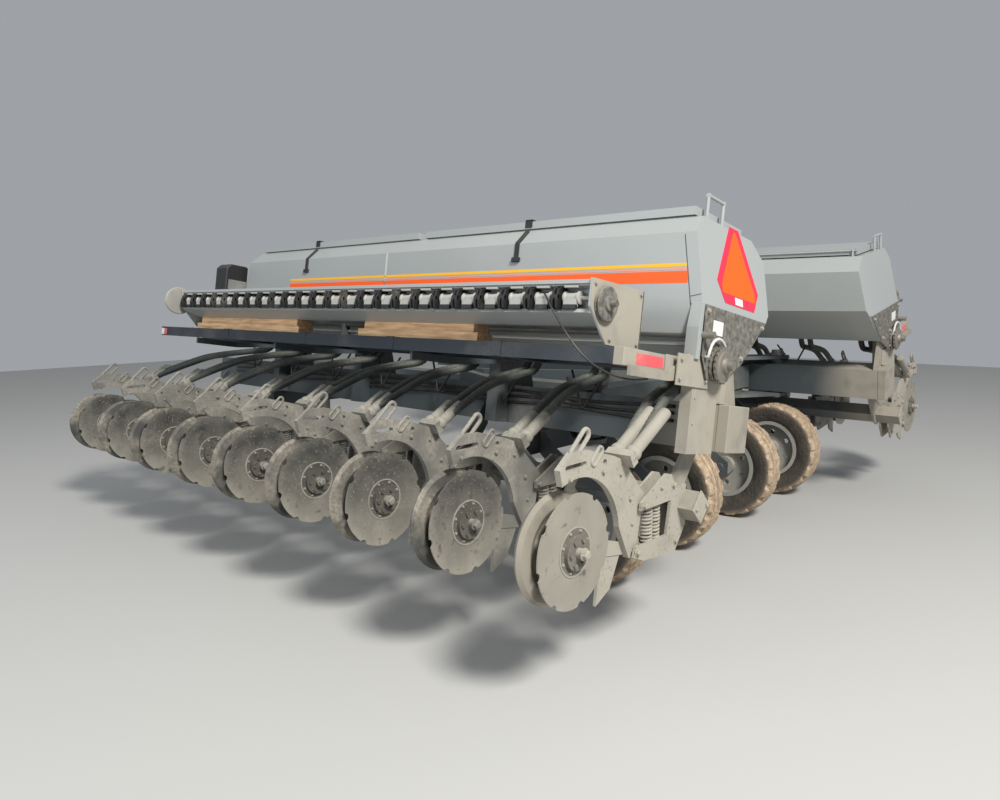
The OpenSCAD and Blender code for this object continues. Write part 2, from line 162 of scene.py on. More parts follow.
def mix_colour(nodes, links, factor, first, second):
    mix = nodes.new("ShaderNodeMix")
    mix.data_type = "RGBA"
    links.new(factor, mix.inputs["Factor"])
    for socket, colour in (("A", first), ("B", second)):
        target = [s for s in mix.inputs if s.name == socket and s.type == "RGBA"][0]
        if isinstance(colour, tuple):
            target.default_value = (*colour, 1)
        else:
            links.new(colour, target)
    return [s for s in mix.outputs if s.type == "RGBA"][0]


def math_node(nodes, links, operation, first, second, clamp=True):
    node = nodes.new("ShaderNodeMath")
    node.operation = operation
    for socket, value in ((node.inputs[0], first), (node.inputs[1], second)):
        if isinstance(value, (int, float)):
            socket.default_value = value
        else:
            links.new(value, socket)
    node.use_clamp = clamp
    return node.outputs[0]


def upward(nodes, links):
    normal = nodes.new("ShaderNodeNewGeometry").outputs["Normal"]
    split = nodes.new("ShaderNodeSeparateXYZ")
    links.new(normal, split.inputs[0])
    return span(nodes, links, split.outputs["Z"], 0.1, 1.0)


def bump(nodes, links, shader, height, strength, distance=0.002):
    node = nodes.new("ShaderNodeBump")
    node.inputs["Strength"].default_value = strength
    node.inputs["Distance"].default_value = distance
    links.new(height, node.inputs["Height"])
    links.new(node.outputs[0], shader.inputs["Normal"])


# The rear of the drill stood in the dust of its own wheels: from this y rearwards it is paler.
NEAR_FROM, NEAR_TO = REAR_Y + 0.42, REAR_Y + 0.16


def near_rear(nodes, links):
    place = nodes.new("ShaderNodeTexCoord")
    split = nodes.new("ShaderNodeSeparateXYZ")
    links.new(place.outputs["Object"], split.inputs[0])
    return span(nodes, links, split.outputs["Y"], NEAR_FROM, NEAR_TO)


def dusty(name, colour, dust, amount, rough, metal, patch, bumpy, rear, chips):
    """A base colour under dust; amount and rear say how much dust lies everywhere and near the rear."""
    material, nodes, links, shader = new_material(name, rough, metal)
    broad = span(nodes, links, noise(nodes, links, patch, 5), 0.62 - amount * 0.5, 0.80 - amount * 0.35)
    fine = span(nodes, links, noise(nodes, links, 60, 6), 0.30, 0.70, 0.35, 1.0)
    settled = math_node(nodes, links, "MULTIPLY", upward(nodes, links), min(1.0, amount + 0.25))
    factor = math_node(nodes, links, "MULTIPLY", math_node(nodes, links, "ADD", broad, settled), fine)
    factor = math_node(nodes, links, "MULTIPLY", factor, min(1.0, amount * 1.6))
    if rear:
        coat = math_node(nodes, links, "MULTIPLY", near_rear(nodes, links), rear)
        broken = span(nodes, links, noise(nodes, links, 9, 6), 0.25, 0.5, 0.6, 1.0)
        coat = math_node(nodes, links, "MULTIPLY", coat, broken)
        factor = math_node(nodes, links, "MAXIMUM", factor, coat)
    tint = mix_colour(nodes, links, noise(nodes, links, 1.7, 2), tuple(c * 0.93 for c in colour),
                      tuple(min(1, c * 1.06) for c in colour))
    result = mix_colour(nodes, links, factor, tint, dust)
    if chips:
        flecks = span(nodes, links, noise(nodes, links, 85, 8), 0.60, 0.68)
        result = mix_colour(nodes, links, math_node(nodes, links, "MULTIPLY", flecks, 0.6), result, chips)
    links.new(result, shader.inputs["Base Color"])
    links.new(span(nodes, links, factor, 0, 1, rough, 0.88), shader.inputs["Roughness"])
    bump(nodes, links, shader, noise(nodes, links, 90, 5), bumpy)
    return material


# %% [markdown]
# The palette was read off the machine: a light grey with a green tint on the hoppers, navy on
# the walkboards, pale tan dust on everything near the ground, and tan dried mud on the tyres.

# %% Finishes: the palette
DUST = (0.40, 0.36, 0.29)
PALE_DUST = (0.45, 0.42, 0.355)
HOPPER_GREY = (0.335, 0.355, 0.350)
# colour, dust colour, dust, roughness, metal, patch scale, bump, dust at the rear, colour of chips
PALETTE = {
    "hopper_paint": (HOPPER_GREY, (0.42, 0.42, 0.38), 0.16, 0.30, 0, 1.1, 0.03, 0, None),
    "frame_paint": ((0.150, 0.165, 0.168), DUST, 0.38, 0.45, 0, 2.2, 0.15, 0.75, None),
    # under_paint is the frame paint made darker for the parts in the wings' shade: painted shade, with dust
    # on top.
    "under_paint": ((0.060, 0.074, 0.080), DUST, 0.24, 0.45, 0, 2.0, 0.15, 0.70, None),
    "deck_paint": ((0.012, 0.018, 0.027), DUST, 0.12, 0.36, 0, 2.0, 0.15, 0, None),
    "dusty_casting": ((0.150, 0.145, 0.130), (0.37, 0.345, 0.29), 0.50, 0.6, 0, 6.0, 0.45, 0.92,
                      (0.13, 0.12, 0.10)),
    "bare_steel": ((0.22, 0.215, 0.205), DUST, 0.35, 0.4, 0.8, 6.0, 0.15, 0.5, None),
    "gauge_rubber": ((0.045, 0.045, 0.042), (0.40, 0.36, 0.29), 0.42, 0.7, 0, 6.0, 0.3, 0.6, None),
    "hose_rubber": ((0.030, 0.037, 0.035), (0.22, 0.22, 0.18), 0.40, 0.55, 0, 3.0, 0.2, 0, None),
    "pale_sleeve": ((0.20, 0.19, 0.16), (0.34, 0.32, 0.27), 0.60, 0.6, 0, 9.0, 0.3, 0.8, None),
    "rim_paint": ((0.24, 0.245, 0.235), DUST, 0.50, 0.5, 0, 4.0, 0.15, 0, None),
    "feed_plastic": ((0.38, 0.38, 0.36), DUST, 0.34, 0.35, 0, 9.0, 0.15, 0, None),
    "end_plate": ((0.085, 0.082, 0.075), (0.25, 0.235, 0.20), 0.52, 0.75, 0, 38.0, 0.4, 0,
                  (0.22, 0.21, 0.18)),
    "black_plastic": ((0.012, 0.012, 0.012), DUST, 0.18, 0.45, 0, 5.0, 0.15, 0, None),
    "zinc": ((0.36, 0.36, 0.35), PALE_DUST, 0.50, 0.35, 0.9, 8.0, 0.15, 0, None),
    "emblem_border": ((0.80, 0.022, 0.065), (0.8, 0.4, 0.4), 0.05, 0.50, 0, 3.0, 0.15, 0, None),
    "emblem_field": ((1.0, 0.105, 0.001), (0.9, 0.35, 0.15), 0.04, 0.55, 0, 3.0, 0.15, 0, None),
    "stripe_orange": ((0.92, 0.105, 0.001), (0.8, 0.3, 0.1), 0.05, 0.50, 0, 2.0, 0.15, 0, None),
    "stripe_yellow": ((0.90, 0.46, 0.008), (0.8, 0.55, 0.2), 0.05, 0.50, 0, 2.0, 0.15, 0, None),
    "stripe_pink": ((0.70, 0.30, 0.22), (0.7, 0.5, 0.4), 0.05, 0.50, 0, 2.0, 0.15, 0, None),
    "white_label": ((0.72, 0.72, 0.69), PALE_DUST, 0.20, 0.4, 0, 9.0, 0.15, 0, None),
    "red_tape": ((0.72, 0.10, 0.115), (0.6, 0.35, 0.3), 0.30, 0.35, 0, 9.0, 0.15, 0, None),
    "seam": ((0.55, 0.56, 0.54), (0.6, 0.6, 0.55), 0.15, 0.5, 0, 4.0, 0.15, 0, None),
    "seam_dark": ((0.055, 0.060, 0.062), DUST, 0.15, 0.7, 0, 6.0, 0.15, 0, None),
}
FINISH = {name: dusty(name, *row) for name, row in PALETTE.items()}
print("finishes", len(FINISH))

# %% [markdown]
# Three finishes need more than dust. An opener disc is dark above and pale with soil below, brightest
# at its working edge, and a ring of grease marks its hub. All discs of a wing share one axis line, so
# the distance from that line, worked out in the nodes, draws these rings on every disc at once. A
# tyre's tread is caked with tan mud that thins out on its sidewall, which the mesh says with a number
# on each point. Raw boards show their long grain, in colours lightened as painted light for the sun on them.

# %% Finishes: discs, tyres and boards
DISC_X, DISC_Z = BEAM_X + 1.044, BEAM_Z - 0.289


def disc_finish():
    material, nodes, links, shader = new_material("disc_steel", 0.45, 0.25)
    place = nodes.new("ShaderNodeTexCoord")
    split = nodes.new("ShaderNodeSeparateXYZ")
    links.new(place.outputs["Object"], split.inputs[0])
    across = math_node(nodes, links, "ABSOLUTE", split.outputs["X"], 0.0, clamp=False)
    across = math_node(nodes, links, "SUBTRACT", across, DISC_X, clamp=False)
    height = math_node(nodes, links, "SUBTRACT", split.outputs["Z"], DISC_Z, clamp=False)
    squares = [math_node(nodes, links, "MULTIPLY", value, value, clamp=False)
               for value in (across, height)]
    reach = math_node(nodes, links, "ADD", squares[0], squares[1], clamp=False)
    reach = math_node(nodes, links, "SQRT", reach, 0.0, clamp=False)
    low = span(nodes, links, height, 0.14, -0.17)
    edge = span(nodes, links, reach, 0.165, 0.200)
    mottled = span(nodes, links, noise(nodes, links, 12, 7), 0.36, 0.66)
    factor = math_node(nodes, links, "MULTIPLY", low, 0.62)
    factor = math_node(nodes, links, "ADD", factor, math_node(nodes, links, "MULTIPLY", mottled, 0.22))
    factor = math_node(nodes, links, "ADD", factor, math_node(nodes, links, "MULTIPLY", edge, 0.18))
    coat = math_node(nodes, links, "MULTIPLY", near_rear(nodes, links), 0.9)
    factor = math_node(nodes, links, "MAXIMUM", factor, coat)
    soil = mix_colour(nodes, links, noise(nodes, links, 7, 4), (0.23, 0.215, 0.175), (0.43, 0.405, 0.345))
    result = mix_colour(nodes, links, factor, (0.060, 0.060, 0.058), soil)
    hub = span(nodes, links, reach, 0.090, 0.078, 0, 0.55)
    result = mix_colour(nodes, links, hub, result, (0.070, 0.066, 0.058))
    flecks = span(nodes, links, noise(nodes, links, 95, 7), 0.59, 0.68)
    flecks = math_node(nodes, links, "MULTIPLY", flecks, 0.7)
    result = mix_colour(nodes, links, flecks, result, (0.30, 0.28, 0.24))
    stains = span(nodes, links, noise(nodes, links, 24, 8), 0.60, 0.70)
    stains = math_node(nodes, links, "MULTIPLY", stains, 0.65)
    result = mix_colour(nodes, links, stains, result, (0.055, 0.05, 0.042))
    links.new(result, shader.inputs["Base Color"])
    links.new(span(nodes, links, factor, 0, 1, 0.38, 0.8), shader.inputs["Roughness"])
    bump(nodes, links, shader, noise(nodes, links, 70, 6), 0.35)
    return material


def tyre_finish():
    material, nodes, links, shader = new_material("tyre_rubber", 0.8)
    caked = nodes.new("ShaderNodeAttribute")
    caked.attribute_name = "mud"
    patch = span(nodes, links, noise(nodes, links, 9, 7), 0.30, 0.62)
    cover = math_node(nodes, links, "MULTIPLY", caked.outputs["Fac"], 1.15)
    cover = math_node(nodes, links, "MULTIPLY", cover, span(nodes, links, patch, 0, 1, 0.72, 1.0))
    film = math_node(nodes, links, "MULTIPLY", patch, 0.10)
    factor = math_node(nodes, links, "MAXIMUM", cover, film)
    mud = mix_colour(nodes, links, noise(nodes, links, 30, 8), (0.24, 0.165, 0.105), (0.66, 0.52, 0.37))
    rubber = mix_colour(nodes, links, noise(nodes, links, 5, 3), (0.022, 0.021, 0.020),
                        (0.050, 0.046, 0.040))
    links.new(mix_colour(nodes, links, factor, rubber, mud), shader.inputs["Base Color"])
    links.new(span(nodes, links, factor, 0, 1, 0.60, 0.95), shader.inputs["Roughness"])
    bump(nodes, links, shader, noise(nodes, links, 55, 8), 0.9, 0.008)
    return material


def board_finish():
    material, nodes, links, shader = new_material("timber", 0.8)
    grain = span(nodes, links, noise(nodes, links, 26, 8, (3, 0.25, 3)), 0.34, 0.66)
    # Both wood colours are lighter than the timber's own tone: painted light for the sun on boards that sit
    # in the box's shadow here.
    wood = mix_colour(nodes, links, grain, (0.86, 0.57, 0.32), (0.52, 0.31, 0.16))
    links.new(wood, shader.inputs["Base Color"])
    bump(nodes, links, shader, grain, 0.3)
    return material


FINISH["disc_steel"] = disc_finish()
FINISH["tyre_rubber"] = tyre_finish()
FINISH["timber"] = board_finish()

# %% [markdown]
# The steel parts whose shape is right keep their own meshes. Each takes the finish that the record
# names for it, so a change of slot there is a change of paint here.

# %% Paint the imported parts
# The carriage, the beams and the toolbars stand in the shade of the wings: the darker under_paint they take
# is painted shade.
SHADED = {"carriage", "tongue", "jack_sleeve", "left_beam", "right_beam", "left_toolbar", "right_toolbar"}
for part in frame["record"]["subparts"]:
    node = frame["nodes"][part["node"]]
    finish = "under_paint" if part["node"] in SHADED else part["material_slot"]
    node.data.materials.clear()
    node.data.materials.append(FINISH[finish])

# %% [markdown]
# Most added parts are small and repeat, such as bolts and plates, so they are built as one joined
# mesh per wing. A tiny kit does the work: each call adds a form to a bmesh, in the wing's own
# measures, and the piece is turned into an object at the end.

# %% A small kit for joined meshes
def add_plate(mesh, place, outline, y0, y1):
    """An x-z outline in metres, extruded from y0 to y1."""
    rings = [[mesh.verts.new(place @ Vector((x, y, z))) for x, z in outline] for y in (y0, y1)]
    mesh.faces.new(rings[0])
    mesh.faces.new(list(reversed(rings[1])))
    for i in range(len(outline)):
        j = (i + 1) % len(outline)
        mesh.faces.new((rings[0][j], rings[0][i], rings[1][i], rings[1][j]))


def add_block(mesh, place, low, high):
    """A box between two opposite corners."""
    outline = [(low[0], low[2]), (high[0], low[2]), (high[0], high[2]), (low[0], high[2])]
    add_plate(mesh, place, outline, low[1], high[1])


def add_turned(mesh, place, profile, steps):
    """A profile of (radius, height) pairs turned about z."""
    rings = []
    for radius, height in profile:
        angles = [math.tau * i / steps for i in range(steps)]
        rings.append([mesh.verts.new(place @ Vector((radius * math.cos(a), radius * math.sin(a), height)))
                      for a in angles])
    for low, high in zip(rings, rings[1:]):
        for i in range(steps):
            j = (i + 1) % steps
            mesh.faces.new((low[i], low[j], high[j], high[i]))
    mesh.faces.new(list(reversed(rings[0])))
    mesh.faces.new(rings[-1])


def add_tube(mesh, place, points, radius, steps=10, ribs=None):
    """A tube along points; ribs(i) scales the radius of ring i."""
    points = [Vector(p) for p in points]
    rings = []
    side = None
    for i, point in enumerate(points):
        ahead = (points[min(i + 1, len(points) - 1)] - points[max(i - 1, 0)]).normalized()
        if side is None:
            side = ahead.cross(Vector((0, 1, 0)) if abs(ahead.y) < 0.9 else Vector((1, 0, 0))).normalized()
        side = (side - ahead * side.dot(ahead)).normalized()
        other = ahead.cross(side)
        r = radius * (ribs(i) if ribs else 1.0)
        rings.append([mesh.verts.new(place @ (point + side * r * math.cos(a) + other * r * math.sin(a)))
                      for a in (math.tau * k / steps for k in range(steps))])
    for low, high in zip(rings, rings[1:]):
        for i in range(steps):
            j = (i + 1) % steps
            mesh.faces.new((low[i], low[j], high[j], high[i]))
    mesh.faces.new(list(reversed(rings[0])))
    mesh.faces.new(rings[-1])


TO_REAR = Matrix.Rotation(math.pi / 2, 4, "X")


def add_bolt(mesh, place, at, size=0.012, turn=TO_REAR):
    """A washer, a hex head and its low crown, standing on a face."""
    spot = place @ Matrix.Translation(at) @ turn
    add_turned(mesh, spot, [(size * 1.15, 0), (size * 1.15, size * 0.2), (size, size * 0.22)], 14)
    add_turned(mesh, spot, [(size * 0.85, size * 0.2), (size * 0.85, size * 0.85), (size * 0.6, size)], 6)


def finish_piece(mesh, name, body, finish, bevel=0.0, smooth=False):
    """Turns the mesh into an object that rides on a body."""
    bmesh.ops.recalc_face_normals(mesh, faces=mesh.faces[:])
    data = bpy.data.meshes.new(name)
    mesh.to_mesh(data)
    mesh.free()
    piece = bpy.data.objects.new(name, data)
    bpy.context.scene.collection.objects.link(piece)
    data.materials.append(FINISH[finish])
    if bevel:
        edge = piece.modifiers.new("edges", "BEVEL")
        edge.width = bevel
        edge.segments = 2
    if smooth:
        data.polygons.foreach_set("use_smooth", [True] * len(data.polygons))
    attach(piece, body)
    return piece


def wing_piece(mesh, side, name, finish, bevel=0.0, smooth=False):
    return finish_piece(mesh, f"{side}_{name}", f"{side}_wing", finish, bevel, smooth)


# %% [markdown]
# The tyres are ribbed implement tyres with broken shoulder blocks, under a crust of dried mud. The
# section is turned round the axle, every other step of the shoulder is cut back to make the blocks,
# and small random lifts of the tread make the crust.

# %% Tyres
TYRE_STEPS = 120
RIB_DEPTH = 0.015
WHEELS = {1: -1.18, 2: -0.42, 3: 0.42, 4: 1.18}
TYRE_R = 0.340
BLOCK_STEPS = 6
CRUST = (-0.004, 0.0005)
# across, radius, mud cover, shoulder block
TYRE_SECTION = [
    (-0.064, 0.206, 0.04, 0), (-0.070, 0.214, 0.04, 0), (-0.080, 0.235, 0.04, 0), (-0.0885, 0.268, 0.06, 0),
    (-0.0895, 0.295, 0.10, 0), (-0.087, 0.312, 0.40, 0), (-0.080, 0.326, 0.90, 1), (-0.070, 0.333, 1.0, 1),
    (-0.053, 0.336, 1.0, 1), (-0.050, 0.325, 1.0, 0), (-0.042, 0.325, 1.0, 0), (-0.039, 0.338, 1.0, 0),
    (-0.016, 0.3395, 1.0, 0), (-0.013, 0.328, 1.0, 0), (-0.005, 0.328, 1.0, 0), (-0.003, 0.3395, 1.0, 0)]


def add_tyre(number, across):
    section = TYRE_SECTION + [(-x, r, mud, block) for x, r, mud, block in reversed(TYRE_SECTION)]
    centre = Vector((across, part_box(f"tyre_{number}")[0][1] + TYRE_R, TYRE_R))
    mesh = bmesh.new()
    mud_layer = mesh.verts.layers.float.new("mud")
    rings = []
    for step in range(TYRE_STEPS):
        angle = math.tau * step / TYRE_STEPS
        ring = []
        for x, r, mud, block in section:
            cut = RIB_DEPTH if block and step % BLOCK_STEPS in (0, 1) else 0.0
            crust = rng.uniform(*CRUST) if mud > 0.8 else 0.0
            reach = min(r - cut + crust, TYRE_R)
            vert = mesh.verts.new(centre + Vector((x, reach * math.sin(angle), reach * math.cos(angle))))
            vert[mud_layer] = mud * (1.0 if block or mud == 1.0 else 0.8)
            ring.append(vert)
        rings.append(ring)
    for i in range(TYRE_STEPS):
        near, far = rings[i], rings[(i + 1) % TYRE_STEPS]
        for j in range(len(section)):
            k = (j + 1) % len(section)
            mesh.faces.new((near[j], near[k], far[k], far[j]))
    piece = finish_piece(mesh, f"tyre_{number}_ribbed", f"wheel_{number}", "tyre_rubber")
    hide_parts(f"tyre_{number}")


for number, across in WHEELS.items():
    add_tyre(number, across)
print("tyres made, each with", TYRE_STEPS, "steps")

# %% [markdown]
# Seed runs from the hopper to each opener through a pair of ribbed rubber hoses. They are fastened at
# both ends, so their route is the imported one, rounded here by a smooth curve: it leaves the hopper's
# floor, fans out sideways to its opener and drops into a cup. The ribs are rings whose radius swings
# between a crest and a groove. A smooth pale sleeve covers the lower end of each hose, and a ball seat
# closes it in the cup.

# %% Seed hoses
OPENERS = 9
OPENER_Y0, OPENER_PITCH = 0.050, 0.508
DISC_AT = Vector((-1.044, 0, -0.289))
HOPPER_FLOOR, HOPPER_LEN, HOPPER_MARGIN = 0.2897, 3.600, 0.150
HOSE_TOP = Vector((-0.16 * math.cos(LEAN) + HOPPER_FLOOR * math.sin(LEAN), 0,
                   0.16 * math.sin(LEAN) + HOPPER_FLOOR * math.cos(LEAN)))
HOSE_FALL = math.radians(62)
HOSE_WAY = Vector((math.sin(HOSE_FALL), 0, math.cos(HOSE_FALL)))
HOSE_END = DISC_AT + Vector((0.298, 0, 0.290)) + 0.0003 * HOSE_WAY
HOSE_ROUTE = [HOSE_TOP, HOSE_TOP - 0.04 * Vector((math.sin(LEAN), 0, math.cos(LEAN))),
              Vector((-0.162, 0, 0.212)), Vector((-0.250, 0, 0.196)), Vector((-0.370, 0, 0.176)),
              HOSE_END + 0.300 * HOSE_WAY, HOSE_END + 0.040 * HOSE_WAY, HOSE_END]
HOSE_R, HOSE_HALF_GAP, RIB_PITCH, GROOVE = 0.020, 0.032, 0.0075, 0.88
CURVE_STEPS = 48


def opener_y(k):
    return OPENER_Y0 + k * OPENER_PITCH


def fanned(point, k):
    """The same point with the y it has on the hose of opener k."""
    top_y = HOPPER_MARGIN + k * (HOPPER_LEN - 2 * HOPPER_MARGIN) / (OPENERS - 1)
    share = (point.x - HOSE_END.x - 0.035) / (HOSE_TOP.x - HOSE_END.x - 0.045)
    return Vector((point.x, opener_y(k) + (top_y - opener_y(k)) * max(0.0, min(1.0, share)), point.z))


def smooth_route(points, gap):
    """A curve through the points, sampled every gap metres."""
    dense = []
    for i in range(len(points) - 1):
        before, after = points[max(i - 1, 0)], points[min(i + 2, len(points) - 1)]
        a, b = points[i], points[i + 1]
        for k in range(CURVE_STEPS):
            t = k / CURVE_STEPS
            dense.append(0.5 * ((2 * a) + (b - before) * t + (2 * before - 5 * a + 4 * b - after) * t * t
                                + (3 * a - before - 3 * b + after) * t ** 3))
    dense.append(points[-1])
    route, walked = [dense[0]], 0.0
    for a, b in zip(dense, dense[1:]):
        walked += (b - a).length
        if walked >= gap:
            route.append(b)
            walked = 0.0
    return route + [dense[-1]]


for side in SIDES:
    mesh = bmesh.new()
    for k in range(OPENERS):
        route = smooth_route([fanned(point, k) for point in HOSE_ROUTE], RIB_PITCH)
        for across in (-HOSE_HALF_GAP, HOSE_HALF_GAP):
            place = UPRIGHT[side] @ Matrix.Translation((0, across, 0))
            add_tube(mesh, place, route, HOSE_R, 12, lambda i: 1.0 if i % 2 else GROOVE)
    hoses = wing_piece(mesh, side, "ribbed_hoses", "hose_rubber",
                         smooth=True)
    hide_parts(f"{side}_seed_hoses")
print("rings on the last hose", len(route))

# %% [markdown]
# The sleeves slip over the hoses, so each is a slightly larger turned tube on the hose's last straight.
# The rearmost pair is the longest. The ball is turned from a short profile of half-circle points.

# %% Hose sleeves and ball seats
SLEEVE_LEN, LONG_SLEEVE = 0.165, 0.275
BALL_R, BALL_UP = 0.0315, 0.014
BALL = [(BALL_R * math.sin(math.pi * i / 10), -BALL_R * math.cos(math.pi * i / 10)) for i in range(1, 10)]
SLOPED = Matrix.Rotation(HOSE_FALL, 4, "Y")
for side in SIDES:
    mesh = bmesh.new()
    for k in range(OPENERS):
        length = LONG_SLEEVE if k == 0 else SLEEVE_LEN
        for across in (-HOSE_HALF_GAP, HOSE_HALF_GAP):
            foot = HOSE_END + Vector((0, opener_y(k) + across, 0))
            spot = UPRIGHT[side] @ Matrix.Translation(foot) @ SLOPED
            sleeve = [(0.0222, 0.010), (0.0245, 0.014), (0.0245, length - 0.012), (0.0228, length),
                      (0.0208, length + 0.001)]
            add_turned(mesh, spot, sleeve, 18)
            add_turned(mesh, spot @ Matrix.Translation((0, 0, BALL_UP)), BALL, 18)
    wing_piece(mesh, side, "hose_sleeves", "pale_sleeve", smooth=True)
print("sleeve length", SLEEVE_LEN)

# %% [markdown]
# Each opener carries a pair of coil springs between its arms. A spring is a helix of wire, so it is
# swept along one here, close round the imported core.

# %% Coil springs
SPRING_X = (0.470, 0.525)
SPRING_LOW, SPRING_HIGH, SPRING_TURNS = -0.084, 0.070, 11
SPRING_R, WIRE_R = 0.0205, 0.0045


def helix(x, radius, turns, low, high, steps=12):
    count = int(turns * steps)
    return [Vector((x + radius * math.cos(math.tau * i / steps), radius * math.sin(math.tau * i / steps),
                    low + (high - low) * i / count)) for i in range(count + 1)]


for side in SIDES:
    mesh = bmesh.new()
    for k in range(OPENERS):
        spot = UPRIGHT[side] @ Matrix.Translation(DISC_AT + Vector((0, opener_y(k), 0)))
        for x in SPRING_X:
            add_tube(mesh, spot, helix(x, SPRING_R, SPRING_TURNS, SPRING_LOW, SPRING_HIGH), WIRE_R, 6)
    wing_piece(mesh, side, "coil_springs", "dusty_casting", smooth=True)

# %% [markdown]
# Bolts hold the openers together, and they are what the eye finds when it comes close. Each opener
# gets the bolts on its casting, at the arms' pins and round its hub, a pressed ring round the hub
# plate, and two slotted loops of rod, a large and a small one, on the top of its arm.

# %% Opener bolts, hub rings and lifting loops
CASTING_FACE = -0.012
ARM_FACE = -0.034
BLADE_FACE = -0.0025
# x and z from the disc's centre, face, size
OPENER_BOLTS = [
    (0.150, 0.255, CASTING_FACE, 0.011), (0.262, 0.225, CASTING_FACE, 0.009),
    (-0.045, 0.262, CASTING_FACE, 0.010),
    (0.330, 0.120, CASTING_FACE, 0.010), (0.345, 0.020, CASTING_FACE, 0.008),
    (0.395, 0.080, ARM_FACE, 0.014),
    (0.350, -0.088, ARM_FACE, 0.014), (0.615, 0.120, ARM_FACE, 0.012), (0.640, -0.115, ARM_FACE, 0.012),
    (0.520, 0.128, ARM_FACE, 0.009)]
HUB_RING, RING_BOLTS, RING_BOLT_R = (0.083, 0.089), 8, 0.074
# start, end, radius of the bend, radius of the rod
LOOPS = [(Vector((-0.010, 0, 0.340)), Vector((0.058, 0, 0.398)), 0.0185, 0.0078),
         (Vector((0.092, -0.013, 0.300)), Vector((0.128, -0.013, 0.332)), 0.014, 0.006)]


def add_ring(mesh, place, inner, outer, low, high, steps=40):
    """A flat ring about z."""
    section = [(inner, low), (outer, low), (outer, high), (inner, high)]
    rings = [[mesh.verts.new(place @ Vector((r * math.cos(a), r * math.sin(a), z))) for r, z in section]
             for a in (math.tau * i / steps for i in range(steps))]
    for near, far in zip(rings, rings[1:] + rings[:1]):
        for j in range(4):
            mesh.faces.new((near[j], near[(j + 1) % 4], far[(j + 1) % 4], far[j]))


def loop_route(start, end, radius, steps=9):
    """Points once round a slot with half-round ends, in the x-z plane."""
    along = (end - start).normalized()
    across = Vector((-along.z, 0, along.x))
    points = []
    for centre, turn in ((end, 0), (start, math.pi)):
        for i in range(steps + 1):
            angle = turn + math.pi / 2 - math.pi * i / steps
            points.append(centre + radius * (math.cos(angle) * along + math.sin(angle) * across))
    return points + points[:2]


for side in SIDES:
    mesh, rings = bmesh.new(), bmesh.new()
    for k in range(OPENERS):
        spot = UPRIGHT[side] @ Matrix.Translation(DISC_AT + Vector((0, opener_y(k), 0)))
        for x, z, face, size in OPENER_BOLTS:
            add_bolt(mesh, spot, (x, face, z), size)
        add_bolt(mesh, spot, (0, -0.040, 0), 0.020)
        for start, end, radius, rod in LOOPS:
            add_tube(mesh, spot, loop_route(start, end, radius), rod, 8)
        add_ring(rings, spot @ Matrix.Translation((0, BLADE_FACE, 0)) @ TO_REAR, *HUB_RING, 0, 0.0025)
        for n in range(RING_BOLTS):
            angle = math.tau * (n + 0.5) / RING_BOLTS
            at = (RING_BOLT_R * math.cos(angle), BLADE_FACE, RING_BOLT_R * math.sin(angle))
            add_bolt(rings, spot, at, 0.0058)
    wing_piece(mesh, side, "opener_bolts", "dusty_casting")
    wing_piece(rings, side, "hub_rings", "pale_sleeve")
print("bolts on each opener", len(OPENER_BOLTS) + 1 + RING_BOLTS)

# %% [markdown]
# The hopper's long outer side carries a thin yellow stripe, a pale line and a wide orange stripe. They
# are vinyl film, a fraction of a millimetre thick, so each is a very flat plate on the side sheet. The
# end sheets slope, so a second matrix per wing places things on that slope, and the stripes end at the
# sloping seam of the corner panel. Below its edge the side sheet runs on down as a skirt, and a
# narrow folded panel closes the skirt's rear end.

# %% Hopper stripes, skirt and seams
HOPPER_SIDE, HOP_BOT, HOP_SHOULDER = -0.345, 0.500, 0.790
END_LEAN = math.radians(11)
END_SLOPE = {side: LEANING[side] @ Matrix.Translation((0, 0, HOP_BOT)) @ Matrix.Rotation(-END_LEAN, 4, "X")
             for side in SIDES}
FILM = 0.0006
CORNER_PANEL = [(-0.3352, 0.272), (-0.368, 0.272), (-0.368, 0.400), (-0.347, 0.500), (-0.3352, 0.504)]
CORNER_Y, STRIPE_END, SHEET_SEAM_Y = 0.050, 3.000, 2.000
SKIRT_LOW, SKIRT_END = 0.377, 3.560
